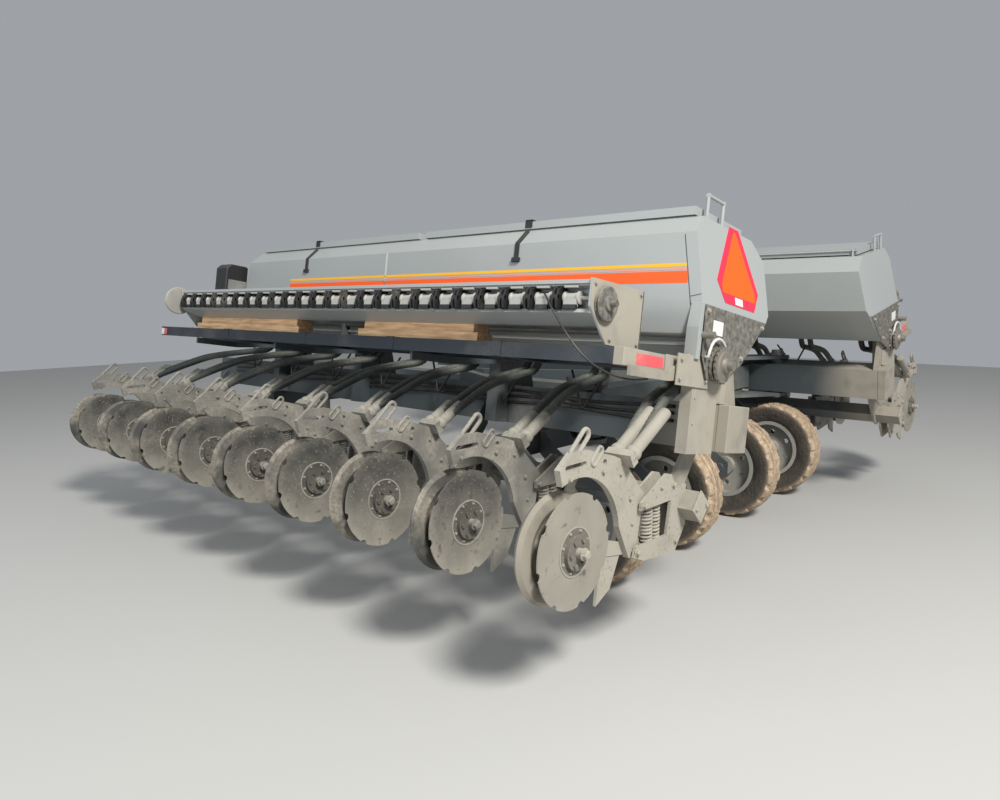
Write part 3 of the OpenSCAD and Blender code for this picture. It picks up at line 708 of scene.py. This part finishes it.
# name, z low, z high, finish
STRIPES = [("yellow", 0.648, 0.662, "stripe_yellow"), ("pink", 0.635, 0.642, "stripe_pink"),
           ("orange", 0.580, 0.630, "stripe_orange")]
for side in SIDES:
    place = LEANING[side]
    for name, low, high, finish in STRIPES:
        start = CORNER_Y + ((low + high) / 2 - HOP_BOT) * math.tan(END_LEAN) + 0.004
        mesh = bmesh.new()
        add_block(mesh, place, (HOPPER_SIDE - FILM, start, low), (HOPPER_SIDE, STRIPE_END, high))
        wing_piece(mesh, side, f"stripe_{name}", finish)
    mesh = bmesh.new()
    add_block(mesh, place, (HOPPER_SIDE, CORNER_Y, SKIRT_LOW),
              (HOPPER_SIDE + 0.003, SKIRT_END, HOP_BOT + 0.003))
    add_block(mesh, place, (HOPPER_SIDE, CORNER_Y, SKIRT_LOW - 0.003),
              (HOPPER_SIDE + 0.022, SKIRT_END, SKIRT_LOW))
    add_plate(mesh, place, CORNER_PANEL, -0.008, CORNER_Y - 0.004)
    wing_piece(mesh, side, "hopper_skirt", "hopper_paint", bevel=0.0008)
    mesh = bmesh.new()
    add_block(mesh, END_SLOPE[side], (HOPPER_SIDE - FILM, CORNER_Y, 0),
              (HOPPER_SIDE, CORNER_Y + 0.0035, 0.295))
    add_block(mesh, END_SLOPE[side], (HOPPER_SIDE - FILM, 0.001, 0.034), (HOPPER_SIDE, CORNER_Y, 0.037))
    wing_piece(mesh, side, "corner_seams", "seam_dark")
    mesh = bmesh.new()
    add_block(mesh, place, (HOPPER_SIDE - FILM, SHEET_SEAM_Y, SKIRT_LOW),
              (HOPPER_SIDE, SHEET_SEAM_Y + 0.012, HOP_SHOULDER))
    add_block(mesh, place, (-0.318, 0.032, 0.329), (-0.300, SKIRT_END, 0.342))
    wing_piece(mesh, side, "pale_seam_and_rail", "seam")
    mesh = bmesh.new()
    add_block(mesh, place, (HOPPER_SIDE - 0.001, 0.270, 0.387), (HOPPER_SIDE - FILM / 2, 0.323, 0.459))
    wing_piece(mesh, side, "side_label_blank", "white_label")
print("stripes", len(STRIPES))

# %% [markdown]
# The end of each hopper is closed below by a heavily dusted plate that carries the drive hub: three
# toothed plates on a stub shaft under a bent guard rod. Beside it a flat plate joins the post to the
# beam, a bolted bracket carries the walkboard, and caps close the beam and the toolbar. Only the chain
# wheels need a cut outline: their teeth come from one radius that swings between root and tip.

# %% End plate, chain wheels and post plate
END_FACE = -0.008
HUB_X, HUB_Z = -0.189, 0.262
END_PLATE = [(-0.334, HOP_BOT - 0.004), (-0.322, 0.285), (-0.262, HUB_Z - 0.066), (-0.118, HUB_Z - 0.066),
             (0.058, 0.286), (0.281, HOP_BOT - 0.004)]
POST_PLATE = [(-0.326, -0.112), (-0.322, 0.205), (-0.030, 0.205), (-0.030, 0.104), (-0.104, 0.104),
              (-0.104, -0.112)]
# x and z of the bolts on the end plate, on the walkboard's bracket and on the post plate
END_BOLTS = [(-0.310, 0.472), (0.235, 0.468), (0.040, 0.310), (-0.130, 0.225), (-0.120, 0.330),
             (-0.285, 0.300)]
BRACKET_BOLTS = [(-0.465, 0.262), (-0.470, 0.185), (-0.250, 0.190), (-0.250, 0.262)]
POST_BOLTS = [(-0.310, 0.117), (-0.310, 0.012)]
# y of the front and back of each toothed plate
WHEEL_FACES = [(-0.0455, -0.0425), (-0.0395, -0.0365), (-0.0205, -0.0175)]
HUB_CAP = [(0.060, 0.0), (0.052, 0.004), (0.034, 0.005), (0.030, 0.018), (0.024, 0.020)]
BEAM_END, BEAM_HALF = -0.052, 0.102
GUARD_X, GUARD_Z, GUARD_R = -0.222, 0.285, 0.082
TEETH, ROOT_R, TIP_R = 18, 0.070, 0.079
TOOLBAR_X, TOOLBAR_Z = -0.330, -0.270


def wheel_outline():
    points = []
    for i in range(TEETH * 4):
        radius = TIP_R if i % 4 in (1, 2) else ROOT_R
        angle = math.tau * i / (TEETH * 4)
        points.append((HUB_X + radius * math.cos(angle), HUB_Z + radius * math.sin(angle)))
    return points


for side in SIDES:
    place = LEANING[side]
    mesh = bmesh.new()
    add_plate(mesh, place, END_PLATE, END_FACE - 0.0030, END_FACE - 0.0002)
    wing_piece(mesh, side, "end_plate", "end_plate", bevel=0.0008)
    mesh = bmesh.new()
    for x, z in END_BOLTS:
        add_bolt(mesh, place, (x, END_FACE - 0.003, z), 0.011)
    for x, z in BRACKET_BOLTS:
        add_bolt(mesh, place, (x, 0.0015, z), 0.010)
    wing_piece(mesh, side, "end_bolts", "pale_sleeve")
    mesh = bmesh.new()
    add_plate(mesh, place, POST_PLATE, 0.0085, 0.0145)
    add_block(mesh, place, (-0.336, 0.0085, -0.112), (-0.326, 0.060, 0.205))
    add_block(mesh, place, (-0.104, -0.006, 0.104), (-0.030, 0.0145, 0.112))
    add_block(mesh, place, (-0.489, 0.0015, 0.160), (-0.216, 0.008, 0.284))
    for x, z in POST_BOLTS:
        add_bolt(mesh, place, (x, 0.0085, z), 0.005)
    wing_piece(mesh, side, "post_plate", "frame_paint", bevel=0.001)
    mesh = bmesh.new()
    add_block(mesh, place, (-BEAM_HALF, BEAM_END, -BEAM_HALF), (BEAM_HALF, 0.0, BEAM_HALF))
    # The beam's end cap shares the beam's darker under_paint: painted shade.
    wing_piece(mesh, side, "beam_end", "under_paint", bevel=0.004)
    mesh = bmesh.new()
    bar = UPRIGHT[side] @ Matrix.Translation((TOOLBAR_X, 0, TOOLBAR_Z))
    bar = bar @ Matrix.Rotation(math.pi / 4, 4, "Y")
    add_block(mesh, bar, (-0.049, -0.058, -0.049), (0.049, -0.0505, 0.049))
    for x, z in ((-0.03, -0.03), (0.03, 0.03)):
        add_bolt(mesh, bar, (x, -0.058, z), 0.009)
    wing_piece(mesh, side, "toolbar_cap", "dusty_casting", bevel=0.002)
    mesh = bmesh.new()
    for front, back in WHEEL_FACES:
        add_plate(mesh, place, wheel_outline(), front, back)
    hub = place @ Matrix.Translation((HUB_X, -0.048, HUB_Z)) @ TO_REAR
    add_turned(mesh, hub, HUB_CAP, 28)
    wing_piece(mesh, side, "chain_wheels", "bare_steel")
    mesh = bmesh.new()
    arc = [Vector((GUARD_X + GUARD_R * math.cos(a), -0.030, GUARD_Z + GUARD_R * math.sin(a)))
           for a in (math.radians(8 + 17 * i) for i in range(11))]
    ends = [Vector((p.x, END_FACE, p.z)) for p in (arc[0], arc[-1])]
    add_tube(mesh, place, [ends[0], *arc, ends[1]], 0.0065, 10)
    wing_piece(mesh, side, "guard_rod", "seam", smooth=True)
    mesh = bmesh.new()
    add_block(mesh, place, (-0.252, END_FACE - 0.0040, 0.384), (-0.160, END_FACE - 0.0030, 0.442))
    wing_piece(mesh, side, "end_label_blank", "white_label")
print("teeth on a chain wheel", TEETH)

# %% [markdown]
# A slow-moving vehicle carries a triangle with cut-off corners on its rear: a red retroreflective
# border round a fluorescent orange field. Only the near wing shows one. Its small plate stays blank.

# %% Slow-vehicle emblem
EMBLEM_X, EMBLEM_BASE = 0.022, 0.032
# half width and height above the base, up the right side
BORDER_SIDE = [(0.151, 0.0), (0.213, 0.091), (0.046, 0.356)]
FIELD_SIDE = [(0.170, 0.043), (0.172, 0.080), (0.010, 0.338)]
EMBLEM_DEPTH = 0.0022


def both_sides(half):
    right = [(EMBLEM_X + x, EMBLEM_BASE + s) for x, s in half]
    return right + [(EMBLEM_X - x, EMBLEM_BASE + s) for x, s in reversed(half)]


for half, depth, name in ((BORDER_SIDE, EMBLEM_DEPTH, "emblem_border"),
                          (FIELD_SIDE, EMBLEM_DEPTH + 0.0006, "emblem_field")):
    mesh = bmesh.new()
    add_plate(mesh, END_SLOPE["left"], both_sides(half), -depth, -0.0002)
    finish_piece(mesh, name, "left_wing", name)
mesh = bmesh.new()
add_block(mesh, END_SLOPE["left"], (EMBLEM_X - 0.050, -EMBLEM_DEPTH - 0.0008, EMBLEM_BASE + 0.006),
          (EMBLEM_X + 0.027, -EMBLEM_DEPTH, EMBLEM_BASE + 0.038))
finish_piece(mesh, "emblem_plate_blank", "left_wing", "white_label")
print("emblem height", BORDER_SIDE[-1][1])

# %% [markdown]
# Black rubber straps hold the lids down. Each is a thick flat band that hooks over the lid's lip and
# runs down the sloping shoulder to a button on the side.

# %% Lid straps
STRAPS = {"rear": 1.008, "front": 2.819}
LID_EDGE, LID_TOP, HOOK_HALF = -0.275, 0.914, 0.022
STRAP = [(-0.283, 0.868), (-0.351, 0.794), (-0.352, 0.716), (-0.3455, 0.716), (-0.3455, 0.790),
         (-0.279, 0.862)]
for side in SIDES:
    for lid, y in STRAPS.items():
        mesh = bmesh.new()
        for low, reach in ((0.884, -0.0005), (LID_TOP + 0.0003, 0.035)):
            add_block(mesh, LEANING[side], (LID_EDGE - 0.0035, y - HOOK_HALF, low),
                      (LID_EDGE + reach, y + HOOK_HALF, LID_TOP + 0.010))
        finish_piece(mesh, f"{side}_strap_hook_{lid}", f"{side}_lid_{lid}", "black_plastic",
                     bevel=0.001)
    mesh = bmesh.new()
    for y in STRAPS.values():
        add_plate(mesh, LEANING[side], STRAP, y - 0.013, y + 0.013)
        add_block(mesh, LEANING[side], (-0.357, y - 0.024, 0.700), (HOPPER_SIDE - FILM, y + 0.024, 0.722))
    wing_piece(mesh, side, "lid_straps", "black_plastic", bevel=0.0015)
print("straps at", STRAPS)

# %% [markdown]
# The walkboard is closed at its rear end by a grey folded channel with a band of red reflective tape,
# and a small two-coloured reflector sits at its front end. Cover plates join its lengths of folded
# sheet, which show as slightly raised bands on its outer edge.

# %% Walkboard trim
DECK_TOP, DECK_LOW, DECK_OUT, DECK_IN = 0.267, 0.207, -0.825, -0.525
DECK_NEAR, DECK_FAR = 0.080, 3.790
COVER_YS, COVER_WIDE = (0.62, 1.30, 2.03, 2.86), 0.055
DECK_BOLTS, BOLT_FROM, BOLT_PITCH = 8, 0.30, 0.45
for side in SIDES:
    place = LEANING[side]
    mesh = bmesh.new()
    add_block(mesh, place, (DECK_OUT - 0.002, 0.036, DECK_LOW - 0.002),
              (DECK_IN, DECK_NEAR - 0.0005, DECK_TOP + 0.003))
    add_block(mesh, place, (DECK_IN - 0.01, 0.030, DECK_LOW - 0.020),
              (DECK_IN + 0.120, 0.036, DECK_TOP + 0.006))
    wing_piece(mesh, side, "deck_end", "frame_paint", bevel=0.002)
    mesh = bmesh.new()
    add_block(mesh, place, (-0.740, 0.0352, 0.215), (-0.545, 0.036, 0.257))
    add_block(mesh, place, (DECK_OUT - 0.0012, DECK_FAR - 0.085, 0.214),
              (DECK_OUT, DECK_FAR - 0.045, 0.256))
    wing_piece(mesh, side, "red_tape", "red_tape")
    mesh = bmesh.new()
    add_block(mesh, place, (DECK_OUT - 0.0012, DECK_FAR - 0.043, 0.214),
              (DECK_OUT, DECK_FAR - 0.003, 0.256))
    wing_piece(mesh, side, "white_reflector", "white_label")
    mesh = bmesh.new()
    for y in COVER_YS:
        add_block(mesh, place, (DECK_OUT - 0.003, y, DECK_LOW + 0.002),
                  (DECK_IN + 0.003, y + COVER_WIDE, DECK_TOP + 0.003))
    wing_piece(mesh, side, "deck_covers", "deck_paint", bevel=0.0015)
    mesh = bmesh.new()
    for k in range(DECK_BOLTS):
        for x in (DECK_OUT + 0.05, DECK_IN - 0.05):
            at = (x, BOLT_FROM + k * BOLT_PITCH, DECK_TOP + 0.0005)
            add_bolt(mesh, place, at, 0.007, Matrix.Identity(4))
    wing_piece(mesh, side, "deck_bolts", "zinc")
print("walkboard from", DECK_NEAR, "to", DECK_FAR)

# %% [markdown]
# On the small seeds box a folded lid covers the seed, and a row of feed cups looks out of its outer
# side: each has a pale round roller with a collar at both ends and a black forked arm beside it. A
# double pulley drives the shaft at the near end, before a bolted cheek plate, and one large pulley
# sits at the far end.

# %% Small seeds box
BOX_X, BOX_Y, BOX_Z, BOX_LEN, CUPS = -0.900, 0.150, 0.342, 3.190, 24
ROLLER_X, ROLLER_Z, ROLLER_HALF = 0.020, 0.093, 0.036
LID_FOLD = [(-0.004, 0.142), (-0.003, 0.157), (0.030, 0.1605), (0.334, 0.1675), (0.338, 0.150),
            (0.334, 0.150), (0.330, 0.1645), (0.031, 0.1575), (0.001, 0.1545), (0.000, 0.142)]
CUP_MARGIN, CUP_HALF = 0.090, 0.030
ROLLER_LEN = 2 * ROLLER_HALF
ROLLER = [(0.022, 0), (0.025, 0.001), (0.025, 0.010), (0.020, 0.012), (0.020, ROLLER_LEN - 0.012),
          (0.025, ROLLER_LEN - 0.010), (0.025, ROLLER_LEN - 0.001), (0.022, ROLLER_LEN)]
ARM = [(-0.020, 0.050), (-0.026, 0.080), (-0.014, 0.124), (0.012, 0.132), (0.040, 0.128), (0.040, 0.058),
       (0.004, 0.048)]
END_CHEEK = [(-0.011, 0.061), (-0.011, 0.161), (0.344, 0.169), (0.344, -0.065), (0.111, -0.065)]
PULLEY = [(0.020, 0), (0.062, 0.0), (0.066, 0.004), (0.058, 0.010), (0.066, 0.016), (0.062, 0.020),
          (0.030, 0.021), (0.026, 0.030), (0.012, 0.032), (0.012, 0.056)]
FAR_PULLEY = [(0.030, 0), (0.080, 0.002), (0.086, 0.006), (0.078, 0.012), (0.086, 0.018), (0.080, 0.022),
              (0.028, 0.024)]
CHEEK_FACE = -0.0080
CHEEK_BOLTS = [(0.010, 0.145), (0.322, 0.150), (0.320, -0.045), (0.130, -0.045)]
for side in SIDES:
    origin = LEANING[side] @ Matrix.Translation((BOX_X, BOX_Y, BOX_Z))
    rollers, gates = bmesh.new(), bmesh.new()
    for k in range(CUPS):
        y = CUP_MARGIN + k * (BOX_LEN - 2 * CUP_MARGIN) / (CUPS - 1)
        spot = origin @ Matrix.Translation((ROLLER_X, y + ROLLER_HALF, ROLLER_Z)) @ TO_REAR
        add_turned(rollers, spot, ROLLER, 20)
        add_block(rollers, origin, (-0.004, y - CUP_HALF, 0.128), (0.030, y + CUP_HALF, 0.136))
        end = y + ROLLER_HALF
        add_plate(gates, origin, ARM, end + 0.006, end + 0.016)
        add_plate(gates, origin, ARM, end + 0.026, end + 0.036)
        add_block(gates, origin, (-0.022, end + 0.006, 0.086), (-0.012, end + 0.036, 0.102))
        add_block(gates, origin, (-0.006, y - CUP_HALF, 0.050), (0.006, y + CUP_HALF, 0.066))
    wing_piece(rollers, side, "feed_rollers", "feed_plastic", bevel=0.0006)
    wing_piece(gates, side, "feed_gates", "black_plastic", bevel=0.0006)
    mesh = bmesh.new()
    add_plate(mesh, origin, LID_FOLD, -0.004, BOX_LEN + 0.004)
    wing_piece(mesh, side, "seed_box_lid", "hopper_paint", bevel=0.001)
    mesh = bmesh.new()
    hub = origin @ Matrix.Translation((0.076, CHEEK_FACE - 0.0002, 0.080)) @ TO_REAR
    add_turned(mesh, hub, PULLEY, 32)
    wing_piece(mesh, side, "seed_box_pulley", "end_plate")
    mesh = bmesh.new()
    far = origin @ Matrix.Translation((-0.018, BOX_LEN + 0.034, 0.088)) @ TO_REAR
    add_turned(mesh, far, FAR_PULLEY, 36)
    for x, z in CHEEK_BOLTS:
        add_bolt(mesh, origin, (x, CHEEK_FACE, z), 0.008)
    wing_piece(mesh, side, "seed_box_far_pulley", "rim_paint")
    mesh = bmesh.new()
    add_plate(mesh, origin, END_CHEEK, CHEEK_FACE, CHEEK_FACE + 0.0018)
    add_block(mesh, origin, (0.338, CHEEK_FACE, -0.066), (0.345, 0.022, 0.168))
    wing_piece(mesh, side, "seed_box_cheek", "frame_paint", bevel=0.0006)
print("feed cups on each wing", CUPS)

# %% [markdown]
# A few loose-looking parts finish the wing. A black moulded cover stands on a bracket at the hopper's
# front end, a thin black lead droops from the small seeds box to the frame below the walkboard, and
# three hydraulic hoses with short hanging bights are clipped along the beam. The lead and the hoses
# are held at both ends, so each is a tube along a few chosen points.

# %% Front cover, lead and hydraulic hoses
COVER_LOW, COVER_HIGH = (-0.488, 3.606, 0.575), (-0.325, 3.760, 0.765)
LEAD_ROUTE = [(-0.905, 0.360, 0.452), (-0.925, 0.300, 0.390), (-0.930, 0.220, 0.300),
              (-0.905, 0.150, 0.222), (-0.845, 0.095, 0.176), (-0.760, 0.050, 0.158), (-0.640, 0.040, 0.168)]
LEAD_R, HYDRAULIC_R, BIGHT_R = 0.0038, 0.008, 0.006
# x and z of each hydraulic hose, seen along the beam
HYDRAULICS = [(-0.108, 0.066), (-0.110, 0.040), (-0.108, 0.014)]
HYDRAULIC_POINTS, BIGHTS, BIGHT_POINTS = 25, 7, 7
for side in SIDES:
    place = LEANING[side]
    x0, y0, z0 = COVER_LOW
    x1, y1, z1 = COVER_HIGH
    outline = [(x0, z0), (x0, z1 - 0.03), (x0 + 0.03, z1), (x1 - 0.01, z1), (x1, z1 - 0.01), (x1, z0)]
    mesh = bmesh.new()
    add_plate(mesh, place, outline, y0, y1)
    wing_piece(mesh, side, "front_cover", "black_plastic", bevel=0.008)
    mesh = bmesh.new()
    add_block(mesh, place, (-0.470, 3.602, 0.585), (-0.230, 3.608, 0.655))
    for z in (0.587, 0.647):
        add_block(mesh, place, (-0.335, 3.565, z), (-0.230, 3.604, z + 0.006))
    wing_piece(mesh, side, "cover_bracket", "frame_paint", bevel=0.0008)
    mesh = bmesh.new()
    add_tube(mesh, place, smooth_route([Vector(p) for p in LEAD_ROUTE], 0.012), LEAD_R, 8)
    for n, (x, z) in enumerate(HYDRAULICS):
        points = [Vector((x - 0.006 * math.sin(1.7 * i + n), 0.20 + 0.16 * i,
                          z + 0.008 * math.cos(1.1 * i + n))) for i in range(HYDRAULIC_POINTS)]
        add_tube(mesh, place, smooth_route(points, 0.03), HYDRAULIC_R, 8)
    for k in range(BIGHTS):
        bight = []
        for i in range(BIGHT_POINTS):
            aside = abs(i - BIGHT_POINTS // 2)
            y = 0.55 + 0.5 * k + 0.035 * i
            bight.append(Vector((-0.168 + 0.012 * aside, y, 0.02 + 0.060 * aside)))
        add_tube(mesh, place, smooth_route(bight, 0.012), BIGHT_R, 8)
    wing_piece(mesh, side, "lead_and_hydraulics", "black_plastic", smooth=True)
print("lead points", len(LEAD_ROUTE))

# %% Finish
bpy.context.view_layer.update()
FLOOR_HALF, FLOOR_Z = 14, -0.001
floor_mesh = bmesh.new()
floor_mesh.faces.new([floor_mesh.verts.new((x * FLOOR_HALF, y * FLOOR_HALF, FLOOR_Z))
                      for x, y in ((-1, -1), (1, -1), (1, 1), (-1, 1))])
floor_data = bpy.data.meshes.new("floor")
floor_mesh.to_mesh(floor_data)
floor_mesh.free()
floor = bpy.data.objects.new("floor", floor_data)
bpy.context.scene.collection.objects.link(floor)
floor_material, _, _, floor_shader = new_material("floor", 0.9)
floor_shader.inputs["Base Color"].default_value = (0.46, 0.46, 0.445, 1)
floor_data.materials.append(floor_material)
